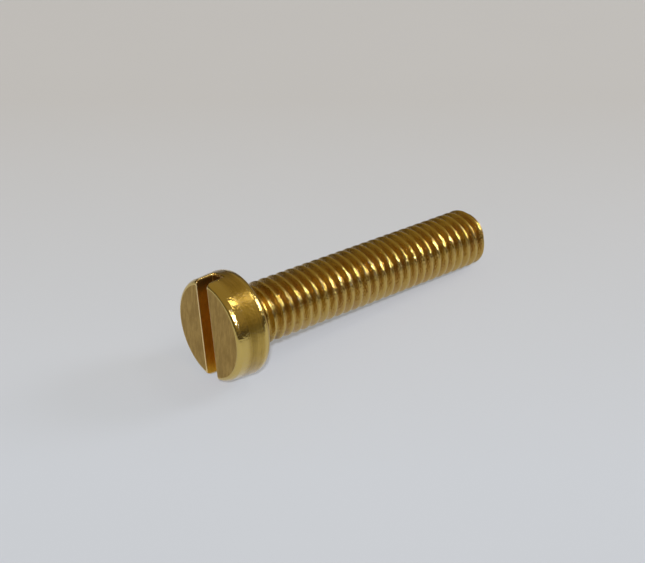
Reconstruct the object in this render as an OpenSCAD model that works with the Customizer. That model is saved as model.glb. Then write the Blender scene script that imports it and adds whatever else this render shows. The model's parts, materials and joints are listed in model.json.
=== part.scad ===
// Slotted cheese head machine screw, M4 x 20, turned and thread-rolled from one brass bar.
// It lies as it comes to rest on a table, on the rear edge of its head and on the last
// full crest of its thread. +X runs from the head to the tip, +Z is up, and the origin is
// under the middle of the screw, on the table.

/* [Head] */
// Diameter of the head at its bearing side
head_d = 6.85; // [6.4:0.05:7.4]
// Height of the head, from the bearing face to the slotted face
head_h = 2.35; // [2.0:0.05:2.8]
// How far each side of the head leans in towards the slotted face, in degrees
head_taper = 3.5; // [0:0.5:5]
// Radius of the edge round the slotted face
face_edge_r = 0.3; // [0.05:0.01:0.4]
// Radius of the edge round the bearing side
bearing_edge_r = 0.13; // [0.05:0.01:0.3]

/* [Slot] */
// Width of the screwdriver slot
slot_w = 1.15; // [0.8:0.05:1.5]
// Depth of the slot below the slotted face
slot_depth = 1.25; // [0.8:0.05:1.6]
// How far the saw cut lies off the middle of the head
slot_offset = 0.15; // [0:0.05:0.3]
// Turn of the slot away from upright, in degrees, as the screw lies
slot_turn = 12.6; // [-90:0.2:90]

/* [Shank] */
// Length from the bearing face to the end of the tip
shank_l = 20; // [10:0.5:30]
// Radius of the fillet where the neck meets the bearing face
neck_fillet = 0.3; // [0.26:0.02:0.4]
// Length of the plain neck under the head, fillet included
neck_l = 0.55; // [0.5:0.05:0.7]

/* [Thread] */
// Outer diameter of the thread
thread_d = 4; // [3.6:0.1:4.4]
// Pitch of the thread, a right-hand one
pitch = 0.7; // [0.6:0.05:0.75]
// Length over which the thread rises from the neck to its full height
run_out_l = 1.2; // [0.6:0.1:2]
// Bearing face to the middle of the first crest, measured along the underside
first_crest = 0.9; // [0.8:0.05:1]

/* [Tip] */
// Diameter of the flat end of the tip
tip_d = 3.3; // [2.6:0.1:3.4]
// Angle between the tip's chamfer and the screw's axis, in degrees
tip_angle = 42; // [30:1:50]

/* [Hidden] */
$fn = 96;

// Head
taper_tan = tan(head_taper);
taper_cos = cos(head_taper);
head_r = head_d / 2;
// Where the side would meet the bearing face, if that edge weren't rounded
side_r = head_r + bearing_edge_r * (taper_tan + 1 / taper_cos - 1);
// Centres of the two rounded edges, as radius and place along the axis
bearing_edge = [head_r - bearing_edge_r, -bearing_edge_r];
face_edge = [
    side_r - (head_h - face_edge_r) * taper_tan - face_edge_r / taper_cos,
    face_edge_r - head_h
];
edge_steps = 6;

// Thread: the usual 60 degree form, with a flat crest of an eighth of the pitch
flank_angle = 30;
crest_flat = pitch / 8;
thread_depth = 0.6134 * pitch;
flank_l = thread_depth * tan(flank_angle);
root_flat = pitch - crest_flat - 2 * flank_l;
crest_r = thread_d / 2;
root_r = crest_r - thread_depth;
// A rolled thread is squeezed from a blank as thick as its pitch diameter
neck_r = crest_r - 0.3248 * pitch;
// The thread starts this far inside the neck's surface
neck_cover = 0.02;
run_out_start = neck_l - 0.15;
turn_steps = 32;
// The helix starts on the underside, inside the head, and ends past the tip
helix_start = first_crest - crest_flat / 2 - flank_l - root_flat - pitch;
turns = ceil((shank_l - helix_start) / pitch) + 1;
steps = turns * turn_steps;
corners = 4;

// Tip
tip_r = tip_d / 2;
envelope_r = crest_r + 0.5;
chamfer_l = (crest_r - tip_r) / tan(tip_angle);
slot_clear = 1;

// Rest: the rear edge of the head and the last full crest both touch the table
last_crest = floor((shank_l - chamfer_l - first_crest + crest_flat / 2) / pitch);
touch_l = min(first_crest + last_crest * pitch + crest_flat / 2, shank_l - chamfer_l);
rise = bearing_edge[0] - crest_r;
run = touch_l - bearing_edge[1];
dip = atan2(rise, run) + asin(bearing_edge_r / norm([rise, run]));
axis_z = touch_l * sin(dip) + crest_r * cos(dip);
low_x = face_edge[1] * cos(dip) - face_edge[0] * sin(dip) - face_edge_r;
high_x = shank_l * cos(dip) + tip_r * sin(dip);

// Points of an arc round a centre, from one angle to another
function arc(centre, r, from, to) = [
    for (i = [0:edge_steps])
        let (a = from + (to - from) * i / edge_steps)
            centre + r * [cos(a), sin(a)]
];

// How much of its full height the thread has at a place along the axis, from 0 to 1
function growth(z) =
    let (u = min(max((z - run_out_start) / run_out_l, 0), 1)) u * u * (3 - 2 * u);

// Corners of the thread's section, as a distance along the pitch and a full radius
thread_section = [
    [0, root_r],
    [root_flat, root_r],
    [root_flat + flank_l, crest_r],
    [root_flat + flank_l + crest_flat, crest_r]
];

// One corner of the section, after so many steps round the helix
function thread_point(step, corner) =
    let (
        z = helix_start + pitch * step / turn_steps + thread_section[corner][0],
        blank_r = neck_r - neck_cover,
        r = blank_r + (thread_section[corner][1] - blank_r) * growth(z),
        a = 180 + 360 * step / turn_steps
    ) [r * cos(a), r * sin(a), z];

// Number of that corner in the list of points: the fifth one starts the next turn
function corner_id(step, corner) =
    corner == corners ? corner_id(step + turn_steps, 0)
    : step <= steps ? corners * step + corner
    : corners * (steps + 1) + step - steps - 1;

// Edge of the open end at a step: up the section, and back along the helix
function end_loop(step) = concat(
    [for (corner = [0:corners]) corner_id(step, corner)],
    [for (s = [turn_steps - 1:-1:0]) corner_id(step + s, 0)]
);

module thread() {
    points = concat(
        [for (s = [0:steps], corner = [0:corners - 1]) thread_point(s, corner)],
        [for (s = [steps + 1:steps + turn_steps]) thread_point(s, 0)],
        [for (s = [0, steps]) [0, 0, helix_start + pitch * (s / turn_steps + 0.5)]]
    );
    first_loop = end_loop(0);
    last_loop = end_loop(steps);
    centre_id = len(points) - 2;
    faces = concat(
        [
            for (s = [0:steps - 1], corner = [0:corners - 1], half = [0, 1])
                let (
                    a = corner_id(s, corner),
                    b = corner_id(s, corner + 1),
                    c = corner_id(s + 1, corner + 1),
                    d = corner_id(s + 1, corner)
                ) half == 0 ? [a, b, c] : [a, c, d]
        ],
        [for (i = [1:len(first_loop) - 1]) [centre_id, first_loop[i], first_loop[i - 1]]],
        [for (i = [1:len(last_loop) - 1]) [centre_id + 1, last_loop[i - 1], last_loop[i]]]
    );
    polyhedron(points = points, faces = faces, convexity = 12);
}

// Everything inside the chamfer and the flat end of the tip
module tip_envelope() {
    rotate_extrude()
        polygon([
            [0, -head_h],
            [envelope_r, -head_h],
            [envelope_r, shank_l - (envelope_r - tip_r) / tan(tip_angle)],
            [tip_r, shank_l],
            [0, shank_l]
        ]);
}

// Head, fillet and plain neck, turned about the axis
module turned_blank() {
    rotate_extrude()
        polygon(concat(
            [[0, -head_h]],
            arc(face_edge, face_edge_r, -90, -head_taper),
            arc(bearing_edge, bearing_edge_r, -head_taper, 90),
            arc([neck_r + neck_fillet, neck_fillet], neck_fillet, 270, 180),
            [[neck_r, neck_l], [0, neck_l]]
        ));
}

module slot_cut() {
    rotate([0, 0, -slot_turn])
        translate([-head_r - slot_clear, -slot_offset - slot_w / 2, -head_h - slot_clear])
            cube([head_d + 2 * slot_clear, slot_w, slot_depth + slot_clear]);
}

// Lays the screw down, from its own frame with the axis along +Z to the table's frame
module lay_down() {
    translate([-(low_x + high_x) / 2, 0, axis_z])
        rotate([0, 90 + dip, 0])
            rotate([0, 0, 180])
                children();
}

module screw() {
    color([0.72, 0.56, 0.25])
        lay_down()
            difference() {
                union() {
                    turned_blank();
                    intersection() {
                        thread();
                        tip_envelope();
                    }
                }
                slot_cut();
            }
}

screw();
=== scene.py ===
# %% [markdown]
# A slotted machine screw in brass, lying on a pale table. On a bench it is one piece: a bar
# of brass, turned, sawn across its head and rolled between dies that press the thread into
# it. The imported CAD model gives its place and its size, and this script gives it a finer
# surface and its finish. The frame comes first, because every piece is put where it says.

# %% Load the frame
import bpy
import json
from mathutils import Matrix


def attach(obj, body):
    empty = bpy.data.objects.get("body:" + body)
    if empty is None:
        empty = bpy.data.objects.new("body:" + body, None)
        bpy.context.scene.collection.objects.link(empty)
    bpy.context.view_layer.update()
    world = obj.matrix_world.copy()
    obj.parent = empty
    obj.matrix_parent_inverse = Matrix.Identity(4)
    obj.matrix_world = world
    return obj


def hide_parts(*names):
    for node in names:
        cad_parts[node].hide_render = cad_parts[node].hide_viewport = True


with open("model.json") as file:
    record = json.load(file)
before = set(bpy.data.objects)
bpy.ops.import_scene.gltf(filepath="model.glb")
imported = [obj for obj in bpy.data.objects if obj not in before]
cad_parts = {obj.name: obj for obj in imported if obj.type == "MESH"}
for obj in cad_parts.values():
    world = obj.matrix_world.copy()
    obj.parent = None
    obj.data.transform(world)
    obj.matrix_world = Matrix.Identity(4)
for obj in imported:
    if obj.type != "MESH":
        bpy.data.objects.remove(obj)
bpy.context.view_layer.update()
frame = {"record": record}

import json
import math

import bmesh
import bpy
from mathutils import Euler, Matrix, Vector

MM = 0.001

# %% [markdown]
# A screw is easiest to draw standing up, with its axis along Z, its bearing face at zero and
# its thread above that. The record's mounts say where the real axis lies: the bearing face
# gives a point on it and its direction. One matrix then lays the finished mesh down, and its
# inverse lets the materials think in the screw's own directions again. Turning the object
# would be shorter, but a piece whose place is in its mesh keeps its pattern when exported.

# %% Where the screw's own frame lies
mounts = {mount["name"]: mount for mount in frame["record"]["mounts"]}
axis = Vector(mounts["bearing_face"]["axis"]).normalized()
bearing_centre = Vector(mounts["bearing_face"]["pos_m"])
near_side = Vector((0, -1, 0))
upper_side = near_side.cross(axis).normalized()
lay_down = Matrix((upper_side, near_side, axis)).transposed().to_4x4()
lay_down.translation = bearing_centre
print("the axis dips by", round(math.degrees(math.asin(-axis.z)), 2), "degrees")

# %% [markdown]
# The camera stands where the photograph was taken from. Its place was worked out from the
# outline and the crests of the thread, which get closer together as the screw runs away
# from the lens. It looks down by about a third of a right angle, with the head nearest. A
# camera aimed by eye would do for the outline, but not for the spacing of the crests.

# %% Camera
image_w = 645
focal_px = 1321.5
sensor_w = 36.0
view_turn = math.radians(-38.87)
view_drop = math.radians(33.5)
camera_offset = Vector((-38.284, -55.797, 47.545)) * MM
nearest_seen = 1 * MM
camera_data = bpy.data.cameras.new("camera")
camera_data.sensor_width = sensor_w
camera_data.lens = focal_px * sensor_w / image_w
camera_data.clip_start = nearest_seen
camera = bpy.data.objects.new("camera", camera_data)
camera.location = bearing_centre + camera_offset
camera.rotation_euler = Euler((math.pi / 2 - view_drop, 0, view_turn))
bpy.context.scene.collection.objects.link(camera)
bpy.context.scene.camera = camera
print("lens in mm:", round(camera_data.lens, 1))

# %% [markdown]
# The head was turned in a lathe, so its side is one profile swept round the axis. Neither of
# its edges is sharp. Handling has worn each into two small curves with a flatter strip
# between them, and that strip catches a lamp as one bright patch, where a plain round edge
# shows a thin line. A Bevel modifier would give the plain round edge, so the profile is put
# together from arcs and a straight piece. The sizes are those of the CAD model, with edges
# that are softer and a head that is narrower by a hair, so that it stays inside its box.

# %% Sizes of the turned head
head_r = 3.407 * MM
head_h = 2.35 * MM
head_taper = math.radians(3.5)
face_edge_r = 0.25 * MM
face_flat_l = 0.15 * MM
face_flat_angle = math.radians(-27)
face_side_r = 0.1 * MM
bearing_side_r = 0.3 * MM
bearing_flat_l = 0.15 * MM
bearing_flat_angle = math.radians(12)
bearing_edge_r = 0.28 * MM
print("head in mm:", round(2 * head_r / MM, 3), "across and", round(head_h / MM, 3), "high")

# %% Profile of the two worn edges
edge_steps = 8


def arc_points(centre_x, centre_z, radius, start, end, steps):
    """Points of an arc in the profile, as radius and height."""
    angles = [start + (end - start) * i / steps for i in range(steps + 1)]
    return [
        (centre_x + radius * math.cos(a), centre_z + radius * math.sin(a)) for a in angles
    ]


def worn_edge(start, first_r, flat_angle, flat_l, second_r, end):
    """Profile of a rounded edge that is flatter in its middle, starting from zero."""
    first = arc_points(
        -first_r * math.cos(start), -first_r * math.sin(start), first_r,
        start, flat_angle, edge_steps,
    )
    x = first[-1][0] - flat_l * math.sin(flat_angle)
    z = first[-1][1] + flat_l * math.cos(flat_angle)
    second = arc_points(
        x - second_r * math.cos(flat_angle), z - second_r * math.sin(flat_angle), second_r,
        flat_angle, end, edge_steps,
    )
    return first + second


face_edge = worn_edge(
    -math.pi / 2, face_edge_r, face_flat_angle, face_flat_l, face_side_r, -head_taper
)
bearing_edge = worn_edge(
    -head_taper, bearing_side_r, bearing_flat_angle, bearing_flat_l, bearing_edge_r, math.pi / 2
)
print("points in the two edges:", len(face_edge), "and", len(bearing_edge))

# %% Put the edges where the head's side meets them
taper_tan = math.tan(head_taper)
bearing_edge_z = -bearing_edge[-1][1]
bearing_edge_x = head_r - bearing_side_r * (1 - math.cos(head_taper))
side_r = bearing_edge_x - bearing_edge_z * taper_tan
face_edge_z = face_edge[-1][1] - head_h
face_edge_x = side_r + face_edge_z * taper_tan - face_edge[-1][0]
face_rim = [(face_edge_x + x, z - head_h) for x, z in face_edge]
bearing_rim = [(bearing_edge_x + x, bearing_edge_z + z) for x, z in bearing_edge]
print("radius of the flat part of the slotted face in mm:", round(face_edge_x / MM, 3))

# %% [markdown]
# The saw cut leaves two halves, each a piece of disc with one straight side. They could be
# cut by a boolean, but then the small roundings along the cut would be hard to place. Here
# each level of a half is drawn as an outline of an arc and a straight side, and both are
# drawn in a little near the face. That is what makes the edges catch the light. The cut is a
# little off the middle, as a saw sets it, so the two halves aren't alike.

# %% Sizes of the saw cut
slot_w = 1.15 * MM
slot_depth = 1.25 * MM
slot_offset = 0.15 * MM
slot_turn = math.radians(12.6)
slot_edge_r = 0.05 * MM
slot_root_r = 0.06 * MM
slot_corner_r = 0.07 * MM
slot_floor_z = slot_depth - head_h
slot_walls = {1: slot_w / 2 - slot_offset, -1: slot_w / 2 + slot_offset}
print("walls of the slot off the axis in mm:", [round(w / MM, 3) for w in slot_walls.values()])

# %% Outline of one half of the head at a level
columns = 160
corner_steps = 3
side_steps = 24
half_arc_steps = {1: 66, -1: 62}
slot_end_steps = (columns - sum(half_arc_steps.values())) // 2


def rounding(distance, radius):
    """How far a rounded edge draws in at this distance past its start."""
    left = radius - min(max(distance, 0.0), radius)
    return radius - math.sqrt(radius * radius - left * left)


def rim_radius(z):
    """Radius of the head at a height, on the worn rim of the face or down its side."""
    for (low_r, low_z), (high_r, high_z) in zip(face_rim, face_rim[1:]):
        if low_z <= z < high_z:
            return low_r + (high_r - low_r) * (z - low_z) / (high_z - low_z)
    return side_r + z * taper_tan


def half_outline(half, z):
    """Corner, arc, corner and straight side of one half, anticlockwise seen from the tip."""
    radius = rim_radius(z)
    wall = slot_walls[half] + rounding(z + head_h, slot_edge_r)
    wall -= rounding(slot_floor_z - z, slot_root_r)
    corner_y = wall + slot_corner_r
    corner_x = math.sqrt((radius - slot_corner_r) ** 2 - corner_y**2)
    tangent = math.atan2(corner_y, corner_x)
    right = arc_points(
        corner_x, corner_y, slot_corner_r, -math.pi / 2, tangent, corner_steps
    )[:-1]
    arc = arc_points(0, 0, radius, tangent, math.pi - tangent, half_arc_steps[half])
    left = [(-x, y) for x, y in reversed(right)]
    side = [(corner_x * (2 * i / side_steps - 1), wall) for i in range(1, side_steps)]
    return [Vector((x * half, y * half, z)) for x, y in right + arc + left + side]


print("points round each half:", [len(half_outline(half, -head_h)) for half in (1, -1)])

# %% [markdown]
# Levels are close together where an edge turns and far apart on straight walls. Below the
# slot's floor the head is a plain disc again. It takes over the points of the two arcs, and
# the slot's open ends between them get a few more. All of its rings have as many points as
# the thread has columns, so the whole screw can be welded into one closed skin. A grid of
# squares remeshed over the head would be simpler to make and would blur every edge.

# %% Levels of the two halves
wall_shares = (0.25, 0.5, 0.75)
root_shares = (0, 0.3, 0.6, 0.8, 0.93, 1)
wall_top = face_rim[-1][1]
wall_low = slot_floor_z - slot_root_r
half_levels = {z for _, z in face_rim} | {slot_edge_r - head_h}
half_levels |= {wall_top + (wall_low - wall_top) * share for share in wall_shares}
half_levels |= {wall_low + slot_root_r * share for share in root_shares}
print("levels from the face to the slot's floor:", len(half_levels))

# %% Helpers for skinning the head
SIDE, FACE, SLOT, THREAD = range(4)
head = bmesh.new()


def add_ring(points):
    """Vertices for a closed ring of points."""
    return [head.verts.new(point) for point in points]


def round_ring(radius, z, angles):
    """Vertices for a circle round the axis, at the given angles."""
    return add_ring([Vector((radius * math.cos(a), radius * math.sin(a), z)) for a in angles])


def bridge(lower, upper, part_of):
    """Faces between two closed rings, with the part of the screw that each belongs to."""
    for i in range(len(lower)):
        j = (i + 1) % len(lower)
        face = head.faces.new((lower[i], lower[j], upper[j], upper[i]))
        face.material_index = part_of(i)


print("parts of the skin:", {"side": SIDE, "face": FACE, "slot": SLOT, "thread": THREAD})

# %% Build the two halves above the slot's floor
disc = []
slot_floor = []
for half in (1, -1):
    arc_start, arc_end = corner_steps, corner_steps + half_arc_steps[half]
    rings = [add_ring(half_outline(half, z)) for z in sorted(half_levels)]
    head.faces.new(rings[0]).material_index = FACE
    for lower, upper in zip(rings, rings[1:]):
        bridge(lower, upper, lambda i: SIDE if arc_start <= i < arc_end else SLOT)
    last = rings[-1]
    span_start = math.atan2(last[arc_end].co.y, last[arc_end].co.x)
    other = half_outline(-half, slot_floor_z)[corner_steps]
    span = (math.atan2(other.y, other.x) - span_start) % math.tau
    gap_angles = [span_start + span * i / slot_end_steps for i in range(1, slot_end_steps)]
    gap = round_ring(rim_radius(slot_floor_z), slot_floor_z, gap_angles)
    disc += last[arc_start:arc_end + 1] + gap
    slot_floor += list(reversed(last[arc_end:] + last[:arc_start + 1])) + gap
head.faces.new(slot_floor).material_index = SLOT
print("points round the disc:", len(disc))

# %% [markdown]
# Under the disc come the worn bearing edge, the flat bearing face, the fillet and a short
# plain neck. A thread is rolled into a blank that is thinner than the finished thread,
# because the dies push metal up as well as down, and the neck is what is left of that blank.
# On the flat bearing face the points move over to even angles, ready for the thread.

# %% Sizes of the neck and the thread
crest_r = 2.0 * MM
pitch = 0.7 * MM
depth_share = 0.6134
blank_share = 0.3248
root_r = crest_r - depth_share * pitch
neck_r = crest_r - blank_share * pitch
neck_fillet = 0.3 * MM
thread_start = 0.4 * MM
print("radius of the crests, neck and roots in mm:",
      [round(radius / MM, 3) for radius in (crest_r, neck_r, root_r)])

# %% Build the disc below the slot, the bearing face and the neck
side_shares = (0.33, 0.67)
start_angle = math.atan2(disc[0].co.y, disc[0].co.x)
disc_angles = [math.atan2(vertex.co.y, vertex.co.x) for vertex in disc]
even_angles = [start_angle + math.tau * i / columns for i in range(columns)]
side_levels = [slot_floor_z + (bearing_edge_z - slot_floor_z) * share for share in side_shares]
side_profile = [(rim_radius(z), z) for z in side_levels] + bearing_rim
fillet = arc_points(
    neck_r + neck_fillet, neck_fillet, neck_fillet, 1.5 * math.pi, math.pi, edge_steps
)
neck_profile = fillet + [(neck_r, thread_start)]
lower = disc
for profile, angles in ((side_profile, disc_angles), (neck_profile, even_angles)):
    for radius, z in profile:
        upper = round_ring(radius, z, angles)
        bridge(lower, upper, lambda i: SIDE)
        lower = upper
print("faces in the head:", len(head.faces))

# %% [markdown]
# The thread is one rule repeated: the same section, carried round the axis and up it by one
# pitch a turn. That is work for Geometry Nodes. A flat grid is wrapped into the shank, with
# its columns along the axis and its rows leaning with the helix, so that a row always
# follows a crest or a root and none is cut across. The Screw modifier would also sweep a
# section, but its thread could not grow out of the neck or end in a chamfer. Rows that would
# pass either end are held there and merged, and the last few shrink to a point and close
# the tip. The nodes are made by a few short helpers, which keep the tree easy to read.

# %% Helpers for building node trees
def connect(tree, socket, value):
    """Links an output socket, or writes a plain value."""
    if isinstance(value, bpy.types.NodeSocket):
        tree.links.new(value, socket)
    else:
        socket.default_value = value


def put(tree, kind, **inputs):
    """Adds a node and sets or links its inputs by name, with _ for a space."""
    node = tree.nodes.new(kind)
    for name, value in inputs.items():
        connect(tree, node.inputs[name.replace("_", " ")], value)
    return node


def calc(tree, operation, *values):
    """One Math node, and its result."""
    node = tree.nodes.new("ShaderNodeMath")
    node.operation = operation
    for socket, value in zip(node.inputs, values):
        connect(tree, socket, value)
    return node.outputs[0]


def maths(tree):
    """A short way to add Math nodes to one tree."""
    return lambda operation, *values: calc(tree, operation, *values)


# %% [markdown]
# The first column of the grid starts at the first point of the neck's ring, so that the two
# meet point to point. The helix starts in a root at least one turn below the neck's end, so
# that its last column still reaches down to the neck, and it is placed along the axis so
# that the crests lie where the photograph shows them.

# %% Sizes of the shank and start of its helix
shank_l = 20 * MM
first_crest = 0.9 * MM
tip_r = 1.648 * MM
tip_angle = math.radians(42)
start_bearing = start_angle - slot_turn
crest_at_start = first_crest + pitch * (start_bearing - math.pi) / math.tau
turns_below = math.ceil((crest_at_start + pitch / 2 - thread_start) / pitch)
helix_start = crest_at_start - pitch / 2 - turns_below * pitch
turns = math.ceil((shank_l - helix_start) / pitch)
print("turns of the helix:", turns)

# %% Named inputs of the thread
thread_inputs = {
    "Pitch": pitch,
    "Crest Radius": crest_r,
    "Root Radius": root_r,
    "Neck Radius": neck_r,
    "Crest Rounding": 0.045 * MM,
    "Root Rounding": 0.12 * MM,
    "Start": thread_start,
    "Run-out": 1.2 * MM,
    "Length": shank_l,
    "Tip Radius": tip_r,
    "Tip Slope": math.tan(tip_angle),
    "Tip Rounding": 0.02 * MM,
    "Helix Start": helix_start,
    "Start Angle": start_bearing,
    "Turns": float(turns),
    "Dent Depth": 0.006 * MM,
    "Dent Size": 0.35 * MM,
    "Seed": 4.0,
}


def add_sockets(tree):
    """Gives the tree its named inputs, a material and its result."""
    for name, value in thread_inputs.items():
        socket = tree.interface.new_socket(name, in_out="INPUT", socket_type="NodeSocketFloat")
        socket.default_value = value
    tree.interface.new_socket("Material", in_out="INPUT", socket_type="NodeSocketMaterial")
    tree.interface.new_socket("Geometry", in_out="OUTPUT", socket_type="NodeSocketGeometry")


print("inputs of the thread:", len(thread_inputs))

# %% [markdown]
# Each row of the grid climbs one pitch a turn. Rows spread evenly along the pitch would give
# the long flanks more of them than they need and the tight curves too few, so a wave in
# their spacing crowds them together on the crests and in the roots.

# %% Height of each point of the grid
rows_per_turn = 14
tip_rows = 5
crowding = 0.55
floor_guard = 0.001
two_waves = 2 * math.tau


def helix_height(tree, given, row, rows, around):
    """Height of a point, with the rows crowded together on crests and roots."""
    do = maths(tree)
    turn = do("DIVIDE", do("MINIMUM", row, rows), float(rows_per_turn))
    whole = do("FLOOR", do("ADD", turn, floor_guard))
    part = do("SUBTRACT", turn, whole)
    wave = do("SINE", do("MULTIPLY", part, two_waves))
    part = do("SUBTRACT", part, do("MULTIPLY", wave, crowding / two_waves))
    climb = do("ADD", do("ADD", whole, part), around)
    height = do("ADD", given["Helix Start"], do("MULTIPLY", climb, given["Pitch"]))
    return do("MINIMUM", do("MAXIMUM", height, given["Start"]), given["Length"])


print("rows of the grid:", turns * rows_per_turn + tip_rows)

# %% [markdown]
# The metric thread is a sharp V of 60 degrees, with an eighth of its height cut off at the
# crest and more filled in at the root. Dies leave both rounded, which smooth minimum and
# maximum give. The section then grows out of the neck over the run-out, and a cone cuts it
# off at the tip.

# %% Radius of each point of the grid
sharp_share = math.sqrt(3) / 2
crest_cut = 8.0


def section_radius(tree, given, height, around):
    """Radius of the section, and how far down the flank it lies, from crest to root."""
    do = maths(tree)
    phase = do("DIVIDE", do("SUBTRACT", height, given["Helix Start"]), given["Pitch"])
    phase = do("FRACT", do("SUBTRACT", phase, around))
    from_crest = do("ABSOLUTE", do("SUBTRACT", do("MULTIPLY", phase, 2.0), 1.0))
    sharp_height = do("MULTIPLY", given["Pitch"], sharp_share)
    sharp_top = do("ADD", given["Crest Radius"], do("DIVIDE", sharp_height, crest_cut))
    radius = do("SUBTRACT", sharp_top, do("MULTIPLY", sharp_height, from_crest))
    radius = do("SMOOTH_MIN", radius, given["Crest Radius"], given["Crest Rounding"])
    radius = do("SMOOTH_MAX", radius, given["Root Radius"], given["Root Rounding"])
    return radius, from_crest


def thread_growth(tree, given, height):
    """How far the thread has grown out of the neck, from 0 to 1."""
    growth = put(tree, "ShaderNodeMapRange", Value=height)
    growth.interpolation_type = "SMOOTHSTEP"
    connect(tree, growth.inputs["From Min"], given["Start"])
    connect(tree, growth.inputs["From Max"], calc(tree, "ADD", given["Start"], given["Run-out"]))
    return growth.outputs[0]


def radius_between_ends(tree, given, radius, height, growth):
    """The section's radius, held to the neck at one end and to the chamfer at the other."""
    do = maths(tree)
    above_neck = do("SUBTRACT", radius, given["Neck Radius"])
    radius = do("MULTIPLY_ADD", above_neck, growth, given["Neck Radius"])
    to_end = do("SUBTRACT", given["Length"], height)
    chamfer = do("MULTIPLY_ADD", to_end, given["Tip Slope"], given["Tip Radius"])
    return do("SMOOTH_MIN", radius, chamfer, given["Tip Rounding"])


print("height of the sharp V in mm:", round(sharp_share * pitch / MM, 3))

# %% [markdown]
# Screws knock against each other in a bag, and the crests get the dents. Noise gives their
# places, and a power of the distance from the root keeps them to the crests. Separate dents
# stamped one by one would look no different at this size.

# %% Dents in the crests
dent_focus = 3.0


def crest_dents(tree, given, across, height, from_crest):
    """Depth of the dents that the crests have picked up."""
    do = maths(tree)
    spot = put(tree, "ShaderNodeCombineXYZ", X=do("MULTIPLY", across[0], given["Crest Radius"]),
               Y=do("MULTIPLY", across[1], given["Crest Radius"]), Z=height)
    noise = tree.nodes.new("ShaderNodeTexNoise")
    noise.noise_dimensions = "4D"
    connect(tree, noise.inputs["Vector"], spot.outputs[0])
    connect(tree, noise.inputs["W"], given["Seed"])
    connect(tree, noise.inputs["Scale"], do("DIVIDE", 1.0, given["Dent Size"]))
    crest_share = do("POWER", do("SUBTRACT", 1.0, from_crest), dent_focus)
    return do("MULTIPLY", do("MULTIPLY", noise.outputs[0], given["Dent Depth"]), crest_share)


print("deepest dent in mm:", round(thread_inputs["Dent Depth"] / MM, 4))

# %% [markdown]
# The parts come together in one tree. It numbers the rows of a flat grid, works out a height
# and a radius for each point, wraps the grid round the axis and merges what falls together:
# the seam between the last column and the first, the rows held at the ends, and the tip.

# %% Geometry Nodes tree for the thread
weld_distance = 1e-4 * MM


def build_thread_tree():
    """A grid wrapped round the axis into a threaded shank."""
    tree = bpy.data.node_groups.new("rolled_thread", "GeometryNodeTree")
    add_sockets(tree)
    given = tree.nodes.new("NodeGroupInput").outputs
    result = tree.nodes.new("NodeGroupOutput")
    do = maths(tree)

    # Grid of one by one, with the number of its row and its share of the way round
    rows = do("MULTIPLY", given["Turns"], float(rows_per_turn))
    all_rows = do("ADD", rows, float(tip_rows))
    grid = put(tree, "GeometryNodeMeshGrid", Size_X=1.0, Size_Y=1.0,
               Vertices_X=do("ADD", all_rows, 1.0), Vertices_Y=columns + 1)
    place = put(tree, "ShaderNodeSeparateXYZ",
                Vector=tree.nodes.new("GeometryNodeInputPosition").outputs[0]).outputs
    row = do("ROUND", do("MULTIPLY", do("ADD", place["X"], 0.5), all_rows))
    around = do("ADD", place["Y"], 0.5)

    # Height and radius, down to nothing over the last rows, less the dents
    height = helix_height(tree, given, row, rows, around)
    radius, from_crest = section_radius(tree, given, height, around)
    growth = thread_growth(tree, given, height)
    radius = radius_between_ends(tree, given, radius, height, growth)
    closing = do("DIVIDE", do("MAXIMUM", do("SUBTRACT", row, rows), 0.0), float(tip_rows))
    still_open = do("SUBTRACT", 1.0, closing)
    angle = do("MULTIPLY_ADD", around, math.tau, given["Start Angle"])
    across = do("COSINE", angle), do("SINE", angle)
    dents = crest_dents(tree, given, across, height, from_crest)
    dents = do("MULTIPLY", dents, do("MULTIPLY", growth, still_open))
    radius = do("SUBTRACT", do("MULTIPLY", radius, still_open), dents)

    # Wrapped, merged and given its material
    point = put(tree, "ShaderNodeCombineXYZ", X=do("MULTIPLY", across[0], radius),
                Y=do("MULTIPLY", across[1], radius), Z=height)
    wrapped = put(tree, "GeometryNodeSetPosition", Geometry=grid.outputs[0],
                  Position=point.outputs[0])
    merged = put(tree, "GeometryNodeMergeByDistance", Geometry=wrapped.outputs[0],
                 Distance=weld_distance)
    smooth = put(tree, "GeometryNodeSetShadeSmooth", Geometry=merged.outputs[0])
    real = put(tree, "GeometryNodeRealizeInstances", Geometry=smooth.outputs[0])
    final = put(tree, "GeometryNodeSetMaterial", Geometry=real.outputs[0],
                Material=given["Material"])
    tree.links.new(final.outputs[0], result.inputs[0])
    return tree


thread_tree = build_thread_tree()
print("nodes in the thread's tree:", len(thread_tree.nodes))

# %% [markdown]
# Brass is one metal here in four states: turned, brushed, sawn and rolled. All four are
# built the same way, from noise in the screw's own directions. Stretched noise makes the
# marks of a tool along its path, wider bands follow them, and clouds are tarnish. An image
# of scratches would be quicker, but it would have a seam and a grain of its own size.

# %% New materials in the screw's own directions
to_screw = lay_down.inverted()


def new_material(name):
    """An empty node material with its Principled shader."""
    material = bpy.data.materials.new(name)
    material.use_nodes = True
    return material, material.node_tree, material.node_tree.nodes["Principled BSDF"]


def screw_coordinates(tree):
    """Object coordinates turned into the screw's own frame."""
    where = tree.nodes.new("ShaderNodeTexCoord").outputs["Object"]
    mapping = put(tree, "ShaderNodeMapping", Vector=where)
    mapping.inputs["Location"].default_value = to_screw.translation
    mapping.inputs["Rotation"].default_value = to_screw.to_euler("XYZ")
    return mapping.outputs[0]


print("turn from the table's directions to the screw's, in degrees:",
      [round(math.degrees(turn), 1) for turn in to_screw.to_euler("XYZ")])

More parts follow.
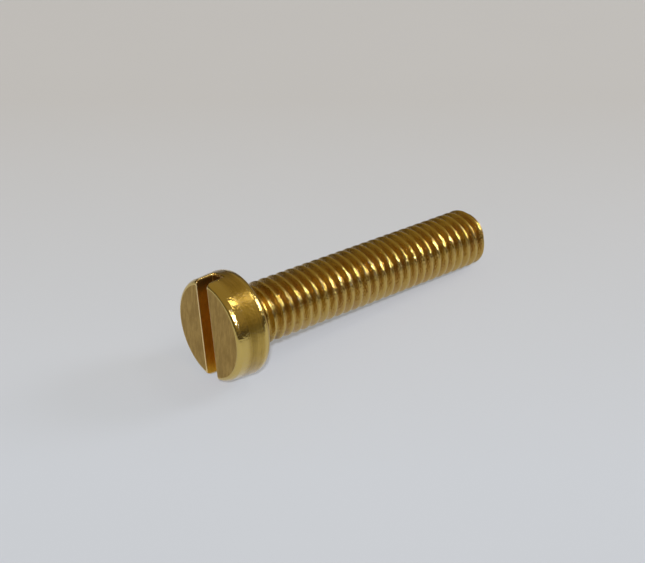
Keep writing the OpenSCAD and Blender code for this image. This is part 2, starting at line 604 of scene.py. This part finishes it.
# %% Noise and colours for the materials
def stretched_noise(tree, where, scale, detail=3.0, roughness=0.6):
    """Noise with its own scale along each direction, in features a millimetre."""
    mapping = put(tree, "ShaderNodeMapping", Vector=where)
    mapping.inputs["Scale"].default_value = [value / MM for value in scale]
    noise = put(tree, "ShaderNodeTexNoise", Vector=mapping.outputs[0], Scale=1.0,
                Detail=detail, Roughness=roughness)
    return noise.outputs[0]


def ramp(tree, value, *stops):
    """A colour ramp with stops of position and colour."""
    node = put(tree, "ShaderNodeValToRGB", Fac=value)
    for element, (position, colour) in zip(node.color_ramp.elements, stops):
        element.position = position
        element.color = (*colour, 1.0)
    return node.outputs[0]


def mix_colour(tree, share, first, second):
    """A mix of two colours."""
    node = tree.nodes.new("ShaderNodeMix")
    node.data_type = "RGBA"
    for name, value in (("Factor_Float", share), ("A_Color", first), ("B_Color", second)):
        socket = next(item for item in node.inputs if item.identifier == name)
        connect(tree, socket, value)
    return next(item for item in node.outputs if item.identifier == "Result_Color")


print("materials so far:", len(bpy.data.materials))

# %% [markdown]
# Hands and screwdrivers rub brass bright where it stands out, and tarnish stays where they
# don't reach. Painted masks could say where, but each place here is a matter of a height or
# of a distance to the axis, so it is worked out from the coordinates. The rolled crests, the
# edges of the slot, and the two ends of the head's side are rubbed. The thread's roots are
# kept darker than its crests, partly tarnish and partly painted shade, and the upper end of
# the slot is painted dark brown as shade.

# %% Places on the screw
def share_between(tree, value, span):
    """A soft step, from 0 at the first value of a span to 1 at the second."""
    step = put(tree, "ShaderNodeMapRange", Value=value, From_Min=span[0], From_Max=span[1])
    step.interpolation_type = "SMOOTHSTEP"
    return step.outputs[0]


def along(tree, where, direction):
    """One coordinate in the screw's own frame."""
    return put(tree, "ShaderNodeSeparateXYZ", Vector=where).outputs[direction]


def axis_distance(tree, where):
    """Distance to the screw's axis."""
    flat = tree.nodes.new("ShaderNodeVectorMath")
    flat.operation = "MULTIPLY"
    connect(tree, flat.inputs[0], where)
    flat.inputs[1].default_value = (1, 1, 0)
    length = tree.nodes.new("ShaderNodeVectorMath")
    length.operation = "LENGTH"
    connect(tree, length.inputs[0], flat.outputs[0])
    return length.outputs["Value"]


print("crests lie", round(crest_r / MM, 2), "mm from the axis, the slotted face at",
      round(-head_h / MM, 2), "mm")

# %% Where the brass is rubbed, and where shade is painted
# Crests outside this span are paler than the roots: partly wear, partly painted shade in the roots.
crest_rub_and_shade_span = (crest_r - 0.14 * MM, crest_r - 0.01 * MM)
slot_edge_rub = (2 * slot_edge_r - head_h, slot_edge_r / 2 - head_h)
slot_end_rub = (side_r - 0.25 * MM, side_r - 0.17 * MM)
face_rim_rub = (1.0 * MM - head_h, 0.5 * MM - head_h)
bearing_rim_rub = (-0.6 * MM, -0.4 * MM)
bearing_rim_end = (-0.12 * MM, -0.28 * MM)
# Where the painted shade in the upper end of the slot starts and where it is full.
slot_shade_rise = (1.8 * MM, 2.8 * MM)


def crest_rub_and_root_shade(tree, where):
    """The crests are rubbed bright; the darker roots outside them are partly tarnish, partly painted
    shade.
    """
    return share_between(tree, axis_distance(tree, where), crest_rub_and_shade_span)


def slot_wear(tree, where):
    """Edges at the slotted face and at the slot's ends are rubbed bright by screwdrivers."""
    at_face = share_between(tree, along(tree, where, "Z"), slot_edge_rub)
    at_ends = share_between(tree, axis_distance(tree, where), slot_end_rub)
    return calc(tree, "MAXIMUM", at_face, at_ends)


def rim_wear(tree, where):
    """Both ends of the head's side are rubbed bright by fingers and screwdrivers."""
    height = along(tree, where, "Z")
    near_face = share_between(tree, height, face_rim_rub)
    near_thread = share_between(tree, height, bearing_rim_rub)
    before_end = share_between(tree, height, bearing_rim_end)
    return calc(tree, "MAXIMUM", near_face, calc(tree, "MULTIPLY", near_thread, before_end))


def slot_top_painted_shade(tree, where):
    """Painted shade: dark brown mixed into the upper end of the slot, where it should look unlit."""
    return share_between(tree, along(tree, where, "X"), slot_shade_rise)


print("crests are rubbed outside a radius of", round(crest_rub_and_shade_span[0] / MM, 2), "mm")

# %% [markdown]
# Small dents bend the surface's normal. Without them a highlight on round metal is one
# smooth streak, as on plastic, and with them it breaks up into spots. Dents cut into the mesh
# would need millions of faces to be as fine. The brightest spots on used brass are small
# mirror-like flats on duller metal. The shader's coat layer gives these: it is smooth, and
# has more dents of its own.

# %% Tone and dents of the brass
marks_share = 0.35
bands_share = 0.4
clouds_share = 0.25
cloud_scale = (0.9, 0.9, 0.9)
cloud_detail = 5.0
soft_detail = 2.0
soft_roughness = 0.5


def mottled_tone(tree, where, marks, bands_scale):
    """Tool marks, wider bands and clouds of tarnish, added up to one value."""
    bands = stretched_noise(tree, where, bands_scale, soft_detail, soft_roughness)
    clouds = stretched_noise(tree, where, cloud_scale, cloud_detail)
    tone = calc(tree, "MULTIPLY_ADD", marks, marks_share, calc(tree, "MULTIPLY", bands, bands_share))
    return calc(tree, "MULTIPLY_ADD", clouds, clouds_share, tone)


def dented(tree, where, normal, dents):
    """A normal bent by dents, each given as features a millimetre and a depth."""
    for scale, depth in dents:
        pits = stretched_noise(tree, where, (scale, scale, scale), soft_detail, soft_roughness)
        normal = put(tree, "ShaderNodeBump", Height=pits, Distance=depth, Normal=normal).outputs[0]
    return normal


print("shares of marks, bands and clouds:", marks_share, bands_share, clouds_share)

# %% The brass material
dark_stop = 0.42
light_stop = 0.58
# Dark brown painted into the upper end of the slot as shade.
painted_shade_colour = (0.2, 0.105, 0.024, 1.0)
glint_roughness = 0.15


def brass(name, marks_scale, bands_scale, dark, light, smooth, rough, marks_depth, dents,
          wear=None, rubbed=None, painted_shade=None, glints=0.0, glint_dents=()):
    """Brass with tool marks, bands of tone, small dents, wear and, where given, painted shade."""
    material, tree, shader = new_material(name)
    where = screw_coordinates(tree)
    marks = stretched_noise(tree, where, marks_scale)
    tone = mottled_tone(tree, where, marks, bands_scale)
    colour = ramp(tree, tone, (dark_stop, dark), (light_stop, light))
    roughness = calc(tree, "MULTIPLY_ADD", tone, smooth - rough, rough)
    # Painted shade, where given, is mixed into the colour.
    if painted_shade:
        colour = mix_colour(tree, painted_shade(tree, where), colour, painted_shade_colour)
    if wear:
        worn = wear(tree, where)
        colour = mix_colour(tree, worn, colour, (*rubbed, 1.0))
        polish = calc(tree, "MULTIPLY", worn, rough - smooth)
        roughness = calc(tree, "SUBTRACT", roughness, polish)
    normal = put(tree, "ShaderNodeBump", Height=marks, Distance=marks_depth).outputs[0]
    normal = dented(tree, where, normal, dents)
    connect(tree, shader.inputs["Base Color"], colour)
    connect(tree, shader.inputs["Roughness"], roughness)
    connect(tree, shader.inputs["Normal"], normal)
    shader.inputs["Metallic"].default_value = 1.0
    if glints:
        shader.inputs["Coat Weight"].default_value = glints
        shader.inputs["Coat Roughness"].default_value = glint_roughness
        connect(tree, shader.inputs["Coat Normal"], dented(tree, where, normal, glint_dents))
    print(name, "has", len(tree.nodes), "nodes")
    return material


# %% [markdown]
# The side of the head keeps fine rings from the lathe tool, so its noise is stretched round
# the axis and turns over quickly along it.

# %% Finish of the turned side
brass_side = brass(
    "brass_side",
    marks_scale=(0.9, 0.9, 14),
    bands_scale=(0.2, 0.2, 2.5),
    dark=(0.38, 0.24, 0.032),
    light=(0.52, 0.345, 0.062),
    smooth=0.22,
    rough=0.40,
    marks_depth=0.002 * MM,
    dents=[(2.5, 0.01 * MM), (6.5, 0.016 * MM)],
    wear=rim_wear,
    rubbed=(0.64, 0.46, 0.12),
    glints=0.6,
    glint_dents=[(7, 0.025 * MM)],
)

# %% [markdown]
# The slotted face was brushed flat in one direction, along the slot or nearly so. Its noise
# turns over quickly across that direction only, and it is the dullest of the outer faces.

# %% Finish of the slotted face
brass_face = brass(
    "brass_face",
    marks_scale=(2.5, 14, 2.5),
    bands_scale=(0.8, 3.5, 0.8),
    dark=(0.36, 0.22, 0.05),
    light=(0.49, 0.315, 0.082),
    smooth=0.34,
    rough=0.5,
    marks_depth=0.003 * MM,
    dents=[(5, 0.006 * MM)],
)

# %% [markdown]
# The slot still has the saw's roughness, in marks along the cut. No hand reaches in to rub
# it, so it has toned to a deeper, redder colour, and only its edges are bright.

# %% Finish of the sawn slot
brass_slot = brass(
    "brass_slot",
    marks_scale=(1.5, 9, 9),
    bands_scale=(0.5, 2.5, 2.5),
    dark=(0.56, 0.28, 0.022),
    light=(0.69, 0.38, 0.038),
    smooth=0.36,
    rough=0.52,
    marks_depth=0.004 * MM,
    dents=[(5, 0.006 * MM)],
    wear=slot_wear,
    rubbed=(0.9, 0.7, 0.34),
    # The upper end of the slot gets painted shade.
    painted_shade=slot_top_painted_shade,
)

# %% [markdown]
# The thread was pressed bright by the dies and is the smoothest part. Its crests are rubbed
# pale, and its roots are coloured darker, partly tarnish and partly painted shade in the
# roots. Two sizes of dents break up its highlights.

# %% Finish of the rolled thread
brass_thread = brass(
    "brass_thread",
    marks_scale=(2, 2, 12),
    bands_scale=(0.9, 0.9, 0.9),
    # These darker colours of the roots and flanks are partly tarnish and partly painted shade.
    dark=(0.43, 0.24, 0.028),
    light=(0.51, 0.325, 0.047),
    smooth=0.12,
    rough=0.24,
    marks_depth=0.002 * MM,
    dents=[(5.5, 0.019 * MM), (11, 0.018 * MM)],
    wear=crest_rub_and_root_shade,
    rubbed=(0.53, 0.365, 0.08),
    glints=1.0,
    glint_dents=[(9, 0.015 * MM)],
)

# %% [markdown]
# Now the tree can run. A modifier carries it, and each of its inputs is set by the socket's
# identifier before anything asks for the result. The result is then kept as a plain mesh
# and the modifier goes, because the finished piece should hold its shape by itself.

# %% Run the tree and keep its result as a plain mesh
screw = bpy.data.objects.new("machine_screw", bpy.data.meshes.new("machine_screw"))
bpy.context.scene.collection.objects.link(screw)
modifier = screw.modifiers.new("rolled_thread", "NODES")
modifier.node_group = thread_tree
for item in thread_tree.interface.items_tree:
    if item.in_out == "INPUT":
        modifier[item.identifier] = thread_inputs.get(item.name, brass_thread)
depsgraph = bpy.context.evaluated_depsgraph_get()
thread_mesh = bpy.data.meshes.new_from_object(screw.evaluated_get(depsgraph))
screw.modifiers.remove(modifier)
print("faces in the shank:", len(thread_mesh.polygons))

# %% [markdown]
# The head and the shank share a ring of points in the neck, so they weld into one closed
# skin, just as the real screw is one piece of metal. Two pieces pushed into each other would
# look the same until they are printed or weighed. Normals weighted by area keep the flat
# faces flat up to their small rounded edges.

# %% Weld the head and the shank
bmesh.ops.rotate(head, verts=head.verts, cent=(0, 0, 0), matrix=Matrix.Rotation(-slot_turn, 3, "Z"))
head_faces = len(head.faces)
head.from_mesh(thread_mesh)
head.faces.ensure_lookup_table()
for face in head.faces[head_faces:]:
    face.material_index = THREAD
bmesh.ops.remove_doubles(head, verts=head.verts, dist=weld_distance)
bmesh.ops.recalc_face_normals(head, faces=head.faces)
for face in head.faces:
    face.smooth = True
head.transform(lay_down)
open_edges = [edge for edge in head.edges if len(edge.link_faces) != 2]
head.to_mesh(screw.data)
head.free()
print("open edges:", len(open_edges))

# %% Give each part of the skin its finish
for material in (brass_side, brass_face, brass_slot, brass_thread):
    screw.data.materials.append(material)
weighting = screw.modifiers.new("weighted_normals", "WEIGHTED_NORMAL")
depsgraph = bpy.context.evaluated_depsgraph_get()
screw.data = bpy.data.meshes.new_from_object(screw.evaluated_get(depsgraph))
screw.modifiers.remove(weighting)
screw.data.name = "machine_screw"
print("triangles:", sum(len(polygon.vertices) - 2 for polygon in screw.data.polygons))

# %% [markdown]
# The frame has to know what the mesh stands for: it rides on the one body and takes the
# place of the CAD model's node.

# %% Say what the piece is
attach(screw, "root")
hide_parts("screw")
print("pieces for the frame:", [screw.name])

# %% [markdown]
# The table is a plain pale top, and one large square is enough for it. Its own colour is
# darker than it looks, because it also glows for the camera and in the metal's reflections,
# cooler near the camera and warmer far away. More light would make it as pale, but would
# fall on the screw as well. Only these rays see the glow, so it lights the background and
# what the metal mirrors, and the table keeps the screw's shadow. In the reflections the glow
# fades with distance, as a real table top ends somewhere in a room.

# %% Colour and surface of the table
table_dark = (0.355, 0.388, 0.46)
table_light = (0.365, 0.398, 0.472)
table_cloud_scale = (0.03, 0.03, 0.03)
table_cloud_detail = 4.0
table_stops = (0.3, 0.7)
table_roughness = 0.7
table_shine = 0.2
table_finish, table_tree, table_shader = new_material("table_finish")
table_where = table_tree.nodes.new("ShaderNodeTexCoord").outputs["Object"]
table_clouds = stretched_noise(table_tree, table_where, table_cloud_scale, table_cloud_detail)
table_colour = ramp(
    table_tree, table_clouds, (table_stops[0], table_dark), (table_stops[1], table_light)
)
connect(table_tree, table_shader.inputs["Base Color"], table_colour)
table_shader.inputs["Roughness"].default_value = table_roughness
table_shader.inputs["Specular IOR Level"].default_value = table_shine
table_middle = [round((dark + light) / 2, 3) for dark, light in zip(table_dark, table_light)]
print("table's colour in the middle:", table_middle)

# %% Which rays see the table's glow
mirror_fade = (15 * MM, 100 * MM)
mirror_near = (1.0, 1.0, 1.0)
mirror_far = (0.15, 0.15, 0.15)
rays = table_tree.nodes.new("ShaderNodeLightPath").outputs
spread = table_tree.nodes.new("ShaderNodeVectorMath")
spread.operation = "LENGTH"
connect(table_tree, spread.inputs[0], table_where)
fade_place = put(table_tree, "ShaderNodeMapRange", Value=spread.outputs["Value"],
                 From_Min=mirror_fade[0], From_Max=mirror_fade[1])
fading = ramp(table_tree, fade_place.outputs[0], (0.0, mirror_near), (1.0, mirror_far))
glossy = calc(table_tree, "MULTIPLY", rays["Is Glossy Ray"], fading)
seen = calc(table_tree, "MAXIMUM", rays["Is Camera Ray"], glossy)
seen = calc(table_tree, "MAXIMUM", seen, rays["Is Transmission Ray"])
print("reflections of the glow fade from", mirror_fade[0], "to", mirror_fade[1], "m")

# %% Colour of the table's glow
glow_span = (-16 * MM, 33 * MM)
glow_near = (0.855, 0.9, 0.985)
glow_far = (0.63, 0.55, 0.455)
glow_strength = 0.305
away = table_tree.nodes.new("ShaderNodeMapping")
connect(table_tree, away.inputs["Vector"], table_where)
away.inputs["Rotation"].default_value = (0, 0, -view_turn)
glow_place = put(table_tree, "ShaderNodeMapRange", Value=along(table_tree, away.outputs[0], "Y"),
                 From_Min=glow_span[0], From_Max=glow_span[1])
glow = ramp(table_tree, glow_place.outputs[0], (0.0, glow_near), (1.0, glow_far))
strength = calc(table_tree, "MULTIPLY", seen, glow_strength)
connect(table_tree, table_shader.inputs["Emission Color"], glow)
connect(table_tree, table_shader.inputs["Emission Strength"], strength)
print("nodes in the table's finish:", len(table_tree.nodes))

# %% Table
floor_half = 4.0
floor = bpy.data.objects.new("table", bpy.data.meshes.new("table"))
corners = [
    (-floor_half, -floor_half, 0), (floor_half, -floor_half, 0),
    (floor_half, floor_half, 0), (-floor_half, floor_half, 0),
]
floor.data.from_pydata(corners, [], [(0, 1, 2, 3)])
floor.data.materials.append(table_finish)
bpy.context.scene.collection.objects.link(floor)
print("width of the table in m:", 2 * floor_half)

# %% [markdown]
# Metal shows what is round it more than it shows its own colour, so each highlight needs a
# light in the right place. A flash just above the camera makes the white spots on the rim
# and the glitter down the middle of the thread. A window low beyond the tip draws the pale
# line along the bearing edge and casts the soft shadow beside the head. A small ceiling lamp
# gives the gold patch on the rim. One large soft box would be simpler, but on the crests it
# would leave smooth lines with no glitter.

# %% Lamps
lamp_distance = 0.8


def add_light(name, kind, towards, energy, size, colour=(1.0, 1.0, 1.0)):
    """A lamp that looks at the screw from a direction; its size is an angle or two lengths."""
    data = bpy.data.lights.new(name, kind)
    data.energy = energy
    data.color = colour
    if kind == "SUN":
        data.angle = size
    else:
        data.shape = "RECTANGLE"
        data.size, data.size_y = size
    lamp = bpy.data.objects.new(name, data)
    direction = Vector(towards).normalized()
    lamp.location = direction * lamp_distance
    lamp.rotation_euler = direction.to_track_quat("Z", "Y").to_euler()
    bpy.context.scene.collection.objects.link(lamp)
    print(name, "stands at", [round(value, 2) for value in lamp.location])


add_light("flash", "SUN", towards=(-0.445, -0.6, 0.66), energy=2.3, size=math.radians(4))
add_light("window", "AREA", towards=(0.83, -0.31, 0.46), energy=1.5, size=(0.24, 0.24))
add_light("ceiling_lamp", "AREA", towards=(0.46, -0.22, 0.85), energy=0.3, size=(0.14, 0.14),
          colour=(1.0, 0.93, 0.8))

# %% [markdown]
# The room fills what the lamps leave dark. It is a plain fade from a brown floor to a warm
# ceiling, because all that the screw mirrors of it is a soft change from dark to light. A
# photographed room would put its own shapes on the metal.

# %% Room
room_low = (0.2, 0.16, 0.1)
room_high = (1.0, 0.8, 0.4)
room_stops = (0.15, 0.5)
room_strength = 0.33
world = bpy.data.worlds.new("room")
world.use_nodes = True
background = world.node_tree.nodes["Background"]
room_direction = world.node_tree.nodes.new("ShaderNodeTexCoord").outputs["Generated"]
room_height = along(world.node_tree, room_direction, "Z")
room_colour = ramp(
    world.node_tree, room_height, (room_stops[0], room_low), (room_stops[1], room_high)
)
connect(world.node_tree, background.inputs["Color"], room_colour)
background.inputs["Strength"].default_value = room_strength
bpy.context.scene.world = world
bpy.context.scene.view_settings.view_transform = "Standard"
print("strength of the room's light:", room_strength)
